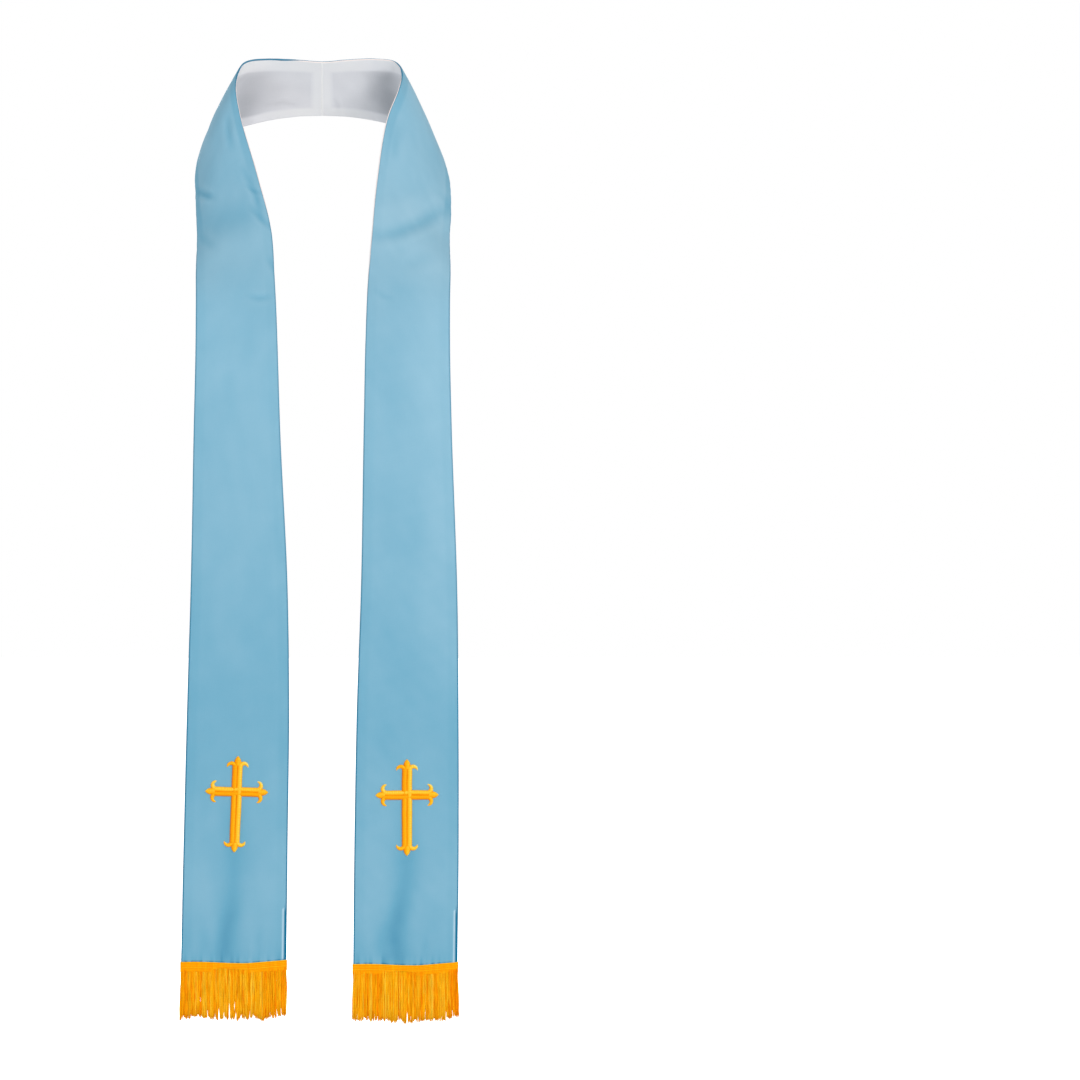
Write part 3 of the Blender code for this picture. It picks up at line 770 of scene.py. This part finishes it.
def stitched_column(line, crest, count):
    """A raised satin-stitch column along a flat line of (x, y, half width), in mm.

    Across it is the upper half of an ellipse on a flat base; it sinks to nothing at both ends.
    Gives flat places, heights, the cloth map (across and along the column), and how lit each point is.
    """
    line = smooth_line(line, count)
    way = np.gradient(line[:, :2], axis=0)
    way /= np.linalg.norm(way, axis=1, keepdims=True)
    left = np.stack([-way[:, 1], way[:, 0]], -1)
    travel = np.concatenate([[0.0], np.cumsum(np.linalg.norm(np.diff(line[:, :2], axis=0), axis=1))])
    ease = np.clip(np.minimum(travel, travel[-1] - travel) / 1.3, 0.02, 1) ** 0.5
    angle = np.linspace(0, np.pi, COLUMN_ARC)
    turn = np.concatenate([angle, [np.pi, 0.0]])
    high = np.concatenate([np.sin(angle) ** 0.9, [-COLUMN_FOOT, -COLUMN_FOOT]])
    half = np.maximum(line[:, 2:], 0.2)
    aside = half * np.cos(turn)
    lit = (left @ LIT_FROM)[:, None] * np.cos(turn)
    flat = line[:, None, :2] + left[:, None, :] * aside[..., None]
    tall = crest * np.minimum(1, half / 2.2) * ease[:, None] * high
    uv = np.stack([aside, np.broadcast_to(travel[:, None], tall.shape)], -1)
    return flat.reshape(-1, 2), tall.ravel(), uv.reshape(-1, 2), lit.ravel()


def cross_columns(seed, facing):
    """Every column of the cross: two down each arm, a leaf and two petals at each end.

    Each is its line of (x, y, half width), its crest in mm, its rings, and how much painted light it takes.
    """
    rng = np.random.default_rng(seed)
    columns = []
    for reach, way, half in ARMS:
        way = np.array(way, float)
        left = np.array((-way[1], way[0]))
        for flip in (-1, 1):
            middle = flip * half / 2
            rows = []
            for back in (reach + 1.2 - rng.uniform(0, 0.8), reach * 0.72, reach * 0.42, 10.5):
                wander = rng.uniform(-0.22, 0.22)
                spot = (reach - back) * way + (middle + wander) * left
                rows.append((*spot, half / 2 + 0.32))
            # Painted light: the column on an arm's lit side is lighter.
            lit_bias = 0.16 * np.sign(flip * left @ (LIT_FROM * (facing, 1)))
            columns.append((rows, 1.9, 34, lit_bias))
            petal = [(*((reach - back) * way + flip * aside * left), wide) for aside, back, wide in PETAL]
            columns.append((petal, 1.35, 20, 0.1 + 0.5 * lit_bias))
        leaf = [(*((reach - back) * way), wide) for _, back, wide in LEAF]
        columns.append((leaf, 1.7, 20, 0.0))
    return columns


def on_panel(side, x, y, out):
    """Points on a hanging end: x sideways from its middle, y the height, both as flat cloth."""
    run = HALF_LENGTH + HEM_Z - y
    across = 0.5 + (1 if side == "right" else -1) * x / cloth_width(run)
    return cloth(side, run, across, out)


def embroidered_cross(colour, side, height, lie_seed, tone_seed):
    """A cross of satin-stitch columns laid on one side of a hanging end."""
    facing = 1 if colour == "blue" else -1
    crown = 0.56 if facing > 0 else 0.68
    tilt = CROSS_TILT[side]
    rng = np.random.default_rng(tone_seed)
    points, faces, maps, tones = [], [], [], []
    start = 0
    for rows, crest, rings, lit_bias in cross_columns(lie_seed, facing):
        flat, tall, uv, lit = stitched_column(rows, crest, rings)
        x = (flat[:, 0] + tilt * flat[:, 1]) * MM
        y = (flat[:, 1] - tilt * flat[:, 0] + height) * MM
        points.append(on_panel(side, x, y, facing * (FACE_OUT + tall * MM)))
        faces += tube_faces(rings, COLUMN_ARC + 2, start)
        maps.append(uv * MM)
        aside = np.abs(uv[:, 0])
        # Painted shade at the sides of each column, where columns meet, and painted light on its crown and
        # lit side.
        valley_shade = crown - 0.52 * (aside / max(aside.max(), 0.1)) ** 3
        tones.append(valley_shade + lit_bias + 0.34 * facing * lit + rng.uniform(-0.06, 0.06))
        start += len(tall)
    return add_piece("cross_on_" + colour + "_" + side, np.vstack(points), faces, EMBROIDERY,
                     np.vstack(maps), {"tone": np.concatenate(tones)})


CROSSES = {}
for colour, side, solid, height, lie_seed, tone_seed in CROSS_PLACES:
    CROSSES[colour, side] = embroidered_cross(colour, side, height, lie_seed, tone_seed)
    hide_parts(solid)


# Fringe

HEADING = 12.2 * MM          # height of the woven heading
HEADING_RAISE = 0.9 * MM     # its top lies this far above the hem
HEADING_GRID = (150, 40)     # points along it and down it
OVERHANG = 0.9 * MM          # it reaches this far past each side of the hem
FRINGE_REACH = 61.5 * MM     # length of the yarns below their start
YARN_START = 7.2 * MM        # they start this far below the heading's top
YARN_RADIUS = 0.46 * MM
YARN_RINGS = (0.0, 0.06, 0.2, 0.4, 0.6, 0.78, 0.91, 1.0)
LOCKS = 34
YARNS = 900
# Cords along the heading: mm below its top, spread in mm, height in mm.
HEADING_CORDS = ((0.7, 0.6, 0.5), (2.7, 0.5, 0.22), (4.2, 0.5, 0.22), (5.6, 0.45, 0.15),
                 (7.2, 0.6, 0.45), (9.2, 0.5, 0.15))
# Painted highlights on the cords and painted shade between them: mm below its top, spread in mm, how much
# lighter.
HEADING_HIGHLIGHTS_AND_SHADE = ((0.6, 0.45, 0.9), (1.8, 0.45, -0.3), (2.9, 0.4, 0.4), (3.8, 0.4, -0.35),
                 (4.8, 0.4, 0.35), (5.9, 0.4, -0.4), (7.1, 0.45, 0.5))


def hem_line(side, place):
    """Points along the foot of the cloth, at shares of its width."""
    return cloth(side, np.full(place.shape, HALF_LENGTH), place, 0 * place)


def fringe_heading(side):
    """The fringe's woven heading: a flat closed strip with cords along it, rounded at top and foot.

    Front and back lie either side of the hem's line: a flat superellipse down the strip, and a bell
    curve for each cord, which fades in places.
    """
    along, rows = HEADING_GRID
    share = OVERHANG / FLAT_SIZE[0]
    place = np.linspace(-share, 1 + share, along)
    line = hem_line(side, place)
    line[:, 2] += HEADING_RAISE
    down = np.linspace(0, 1, rows)
    drop = down * HEADING / MM
    cords = sum(tall * bell(drop, at, wide) for at, wide, tall in HEADING_CORDS)
    rng = np.random.default_rng(5 + (side == "left"))
    fade = 0.75 + 0.25 * slow_waves(91, line[:, 0], 0 * line[:, 0], 60, 20, 6)
    thick = np.sqrt(np.clip(1 - ((down - 0.5) / 0.503) ** 8, 0, 1)) * (1.2 - 0.75 * smooth(7.6, 9.4, drop))
    rib = 0.06 * rng.standard_normal((along, 1))
    ends = np.sqrt(np.clip(1 - (np.abs(place - 0.5) / (0.5 + share * 1.02)) ** 40, 0, 1))
    front = (thick + cords * fade[:, None] + rib) * ends[:, None]
    front = np.maximum(front, 0.04) * MM
    x, y, z = (line[:, i:i + 1] + 0 * front for i in range(3))
    points = [np.stack([x, y + sign * front, z - drop * MM], -1).reshape(-1, 3) for sign in (-1, 1)]
    # Painted highlights on the cords and the raised ribs, and painted shade between the cords.
    lines = sum(tall * bell(drop, at, wide) for at, wide, tall in HEADING_HIGHLIGHTS_AND_SHADE)
    shine = (lines - 0.06 + 1.2 * rib) * (1 - 0.45 * place[:, None])
    shine = 0.3 + shine + 0.05 * rng.standard_normal(front.shape)
    maps = np.stack([drop * MM + 0 * front, x], -1).reshape(-1, 2)
    piece = add_piece("fringe_heading_" + side, np.vstack(points), shell_faces(along, rows), FRINGE_YARN,
                      np.vstack([maps, maps]), {"tone": np.tile(shine.ravel(), 2)})
    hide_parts("fringe_" + side)
    return piece


def fringe_threads(side, seed):
    """Yarns in locks below the heading, each a four-sided tube that tapers and ends unevenly.

    A yarn starts under the heading, closes in on its lock's middle, and leans and waves with it.
    """
    rng = np.random.default_rng(seed)
    width = FLAT_SIZE[0]
    gaps = rng.lognormal(0, 0.42, LOCKS)
    edges = np.concatenate([[0], np.cumsum(gaps)]) / gaps.sum()
    root = (np.arange(YARNS) + rng.uniform(0, 1, YARNS)) / YARNS
    lock = np.clip(np.searchsorted(edges, root) - 1, 0, LOCKS - 1)
    middle = (edges[lock] + edges[lock + 1]) / 2
    level = rng.uniform(-1, 1, YARNS)
    lock_depth = rng.uniform(-0.2, 0.2, LOCKS)[lock]
    lock_length = rng.uniform(0.955, 1.02, LOCKS)[lock]
    lean = (rng.normal(0, 0.32, LOCKS) + 0.4 * np.sin(np.arange(LOCKS) * 1.1 + seed))[lock]
    outward = 1.5 * ((middle - 0.5) * 2) ** 5
    slack = rng.uniform(-0.75, 0.75, YARNS)
    closing = (rng.uniform(-0.12, 0.0, LOCKS) + 0.28 * (rng.uniform(0, 1, LOCKS) > 0.78))[lock]
    offset = (root - middle) * width
    apart = np.abs(root - middle) / (edges[lock + 1] - edges[lock]) * 2
    slant = np.sign(offset) * apart * rng.normal(0, 0.022, LOCKS)[lock]
    pointed = 1 + slant - 0.035 * apart ** 2 * rng.uniform(0.2, 1.4, YARNS)
    length = FRINGE_REACH * lock_length * pointed * rng.uniform(0.968, 1.018, YARNS)
    wave = rng.uniform(0, 2 * np.pi, (YARNS, 2))
    d = np.array(YARN_RINGS)[None, :]
    x = middle[:, None] * width + offset[:, None] * (1 - closing[:, None] * smooth(0.4, 1.0, d))
    x += (lean + outward)[:, None] * MM * d ** 1.6 + slack[:, None] * MM * np.sin(np.pi * d)
    x += 0.3 * MM * np.sin(wave[:, :1] + 9 * d)
    loose = smooth(0.0, 0.3, d)
    y = (level[:, None] * (0.75 - 0.1 * loose) + lock_depth[:, None] * loose) * MM
    y += ROWS[-1, 1] + 0.25 * MM * loose * np.sin(wave[:, 1:] + 7 * d)
    place = x / width
    top = hem_line(side, place.ravel()).reshape(*place.shape, 3)
    z = top[:, :1, 2] + HEADING_RAISE - YARN_START - d * length[:, None]
    centre = np.stack([top[..., 0], y, z], -1)
    thick = YARN_RADIUS * rng.uniform(0.8, 1.2, YARNS)[:, None] * (1 - 0.55 * smooth(0.8, 1.0, d))
    corner = np.array([(1, 0), (0, 1), (-1, 0), (0, -1)], float)
    rings = centre[:, :, None, :].repeat(4, axis=2)
    rings[..., 0] += thick[..., None] * corner[:, 0]
    rings[..., 1] += 0.6 * thick[..., None] * corner[:, 1]
    points = rings.reshape(-1, 3)
    faces = many(tube_faces(len(YARN_RINGS), 4), len(YARN_RINGS) * 4, YARNS)
    tone = 0.43 + 0.14 * rng.standard_normal(LOCKS)[lock] + 0.26 * rng.standard_normal(YARNS)
    # Darker where the yarns leave the heading, and painted shade on the yarns in the middle of the layer,
    # between the others.
    tone = tone[:, None] - 0.16 * (1 - smooth(0.0, 0.3, d)) + 0.35 * (np.abs(level)[:, None] - 0.5)
    tone = np.clip(tone, 0, 1)[:, :, None].repeat(4, axis=2)
    along = np.broadcast_to((d * length[:, None])[..., None], tone.shape)
    round_it = np.broadcast_to(np.arange(4) * 0.4 * MM, tone.shape)
    maps = np.stack([round_it, along], -1).reshape(-1, 2)
    piece = add_piece("fringe_threads_" + side, points, faces, FRINGE_YARN, maps,
                      {"tone": tone.ravel()})
    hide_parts("fringe_" + side)
    return piece


FRINGES = {}
for seed, side in ((3, "left"), (4, "right")):
    FRINGES[side] = [fringe_heading(side), fringe_threads(side, seed)]


# Centre-back seam

STITCH_RINGS, STITCH_SIDES = 7, 6
SEAM_OFF_CENTRE = 0.35 * MM
BAND_OUT = np.array((0.73, 0.68))    # y and z of the direction out of the band at the centre back


def seam_stitches(name, sign, material, pitch, length, aside, thick):
    """Running stitches down the centre-back seam: short rounded threads laid along the cloth.

    Each is a tube of rings whose radius swells and falls like a superellipse along it. Real thread is
    0.3 mm thick, and is drawn at 0.8 mm on the white side and 1.4 mm on the blue so that it shows.
    """
    width = float(cloth_width(np.array([0.0]))[0])
    count = int((width - 4 * MM) / pitch)
    middle = 2.5 * MM + (np.arange(count) + 0.5) * (width - 5 * MM) / count
    t = np.linspace(-1, 1, STITCH_RINGS)
    place = middle[:, None] + t[None, :] * length / 2
    lean = aside * (1 - 2 * place / width)
    bulge = np.sqrt(np.clip(1 - np.abs(t) ** 3, 0, 1))
    run = np.abs(lean) + SEAM_OFF_CENTRE
    line = cloth("left", run, place / width, sign * (FACE_OUT - 0.1 * MM + 0.22 * MM * bulge[None, :]))
    line[..., 0] += lean + SEAM_OFF_CENTRE
    angle = np.arange(STITCH_SIDES) * 2 * np.pi / STITCH_SIDES
    rings = line[:, :, None, :].repeat(STITCH_SIDES, axis=2)
    radius = thick * (0.35 + 0.65 * bulge)[None, :, None]
    rings[..., 0] += radius * np.cos(angle)
    rings[..., 1:] += (radius * np.sin(angle))[..., None] * BAND_OUT * sign
    faces = many(tube_faces(STITCH_RINGS, STITCH_SIDES), STITCH_RINGS * STITCH_SIDES, count)
    add_piece(name, rings.reshape(-1, 3), faces, material)


seam_stitches("centre_seam_blue", 1, BLUE_THREAD, pitch=7.4 * MM, length=4.8 * MM, aside=0.9 * MM,
              thick=0.7 * MM)
seam_stitches("centre_seam_white", -1, WHITE_THREAD, pitch=3.0 * MM, length=2.5 * MM, aside=0.2 * MM,
              thick=0.4 * MM)

for side in ("left", "right"):
    for colour in ("blue", "white"):
        trims = [CROSSES[colour, side]]
        if colour == "blue":
            trims += FRINGES[side]


# Studio

FLOOR_Z = -1.45
FLOOR_REACH = 30.0


def paper_floor():
    """A wide pale paper floor well below the fringe, overexposed to white away from the middle."""
    corners = [(x * FLOOR_REACH, y * FLOOR_REACH, FLOOR_Z) for x, y in ((-1, -1), (1, -1), (1, 1), (-1, 1))]
    mesh = bpy.data.meshes.new("floor")
    mesh.from_pydata(corners, [], [(0, 1, 2, 3)])
    made, tree = blank("white_background_paper")
    place = node(tree, "TexCoord").outputs["Object"]
    far = node(tree, "VectorMath", {"operation": "LENGTH"}, Vector=place).outputs["Value"]
    seen = node(tree, "LightPath").outputs["Is Camera Ray"]
    glow = node(tree, "MapRange", Value=far, From_Min=1.5, From_Max=2.2, To_Min=0.3, To_Max=0.9)
    glow = node(tree, "Math", {"operation": "MULTIPLY"}, _0=glow.outputs[0], _1=seen)
    grain = node(tree, "TexNoise", Vector=place, Scale=400.0, Detail=2.0).outputs["Fac"]
    paper = node(tree, "ValToRGB", stops=((0.0, "#F2F2F2"), (1.0, "#F8F8F8")), Fac=grain)
    shader = node(tree, "BsdfPrincipled", Base_Color=paper.outputs["Color"], Roughness=0.95,
                  Emission_Color=(1.0, 1.0, 1.0, 1.0), Emission_Strength=glow.outputs[0])
    node(tree, "OutputMaterial", Surface=shader.outputs[0])
    mesh.materials.append(made)
    floor = bpy.data.objects.new("floor", mesh)
    bpy.context.scene.collection.objects.link(floor)


def soft_light(name, place, aim, size, watts, colour=(1.0, 1.0, 1.0), mirrored=True):
    """A square area light at a place, turned to a point; unmirrored, it leaves no glossy rim."""
    lamp = bpy.data.lights.new(name, "AREA")
    lamp.color = colour
    lamp.size = size
    lamp.energy = watts
    thing = bpy.data.objects.new(name, lamp)
    bpy.context.scene.collection.objects.link(thing)
    way = np.array(aim, float) - np.array(place, float)
    thing.visible_glossy = mirrored
    thing.location = place
    thing.rotation_euler = (np.arctan2(np.hypot(way[0], way[1]), -way[2]), 0.0, np.arctan2(-way[0], way[1]))


def white_surround(light):
    """An even soft surround: full white where the camera sees it, and dimmer as a light."""
    world = bpy.data.worlds.new("studio")
    world.use_nodes = True
    tree = world.node_tree
    tree.nodes.clear()
    seen = node(tree, "LightPath").outputs["Is Camera Ray"]
    strength = node(tree, "MapRange", Value=seen, To_Min=light, To_Max=1.0)
    shade = node(tree, "Background", Color=(1.0, 1.0, 1.0, 1.0), Strength=strength.outputs[0])
    node(tree, "OutputWorld", Surface=shade.outputs[0])
    bpy.context.scene.world = world


paper_floor()
white_surround(0.50)
soft_light("key_right", (3.0, -3.8, 0.9), (0, -0.15, -0.5), 1.6, 108)
soft_light("fill_left", (-3.8, -2.8, 1.0), (0, -0.15, -0.3), 2.0, 62, (0.78, 0.93, 1.0))
soft_light("back", (-0.7, 4.8, 1.0), (0, 0.0, -0.5), 2.2, 140, mirrored=False)
bpy.context.scene.view_settings.view_transform = "Standard"

# A long lens, level with the middle of the stole and shifted so that it stands left in the picture.
camera_data = bpy.data.cameras.new("camera")
camera_data.sensor_width = 36.0
camera_data.lens = 166.67
camera_data.shift_x = 0.203
camera_data.clip_end = 100.0
camera = bpy.data.objects.new("camera", camera_data)
bpy.context.scene.collection.objects.link(camera)
camera.location = (0.0, -6.208, -0.594)
camera.rotation_euler = (np.pi / 2, 0.0, 0.0)
bpy.context.scene.camera = camera
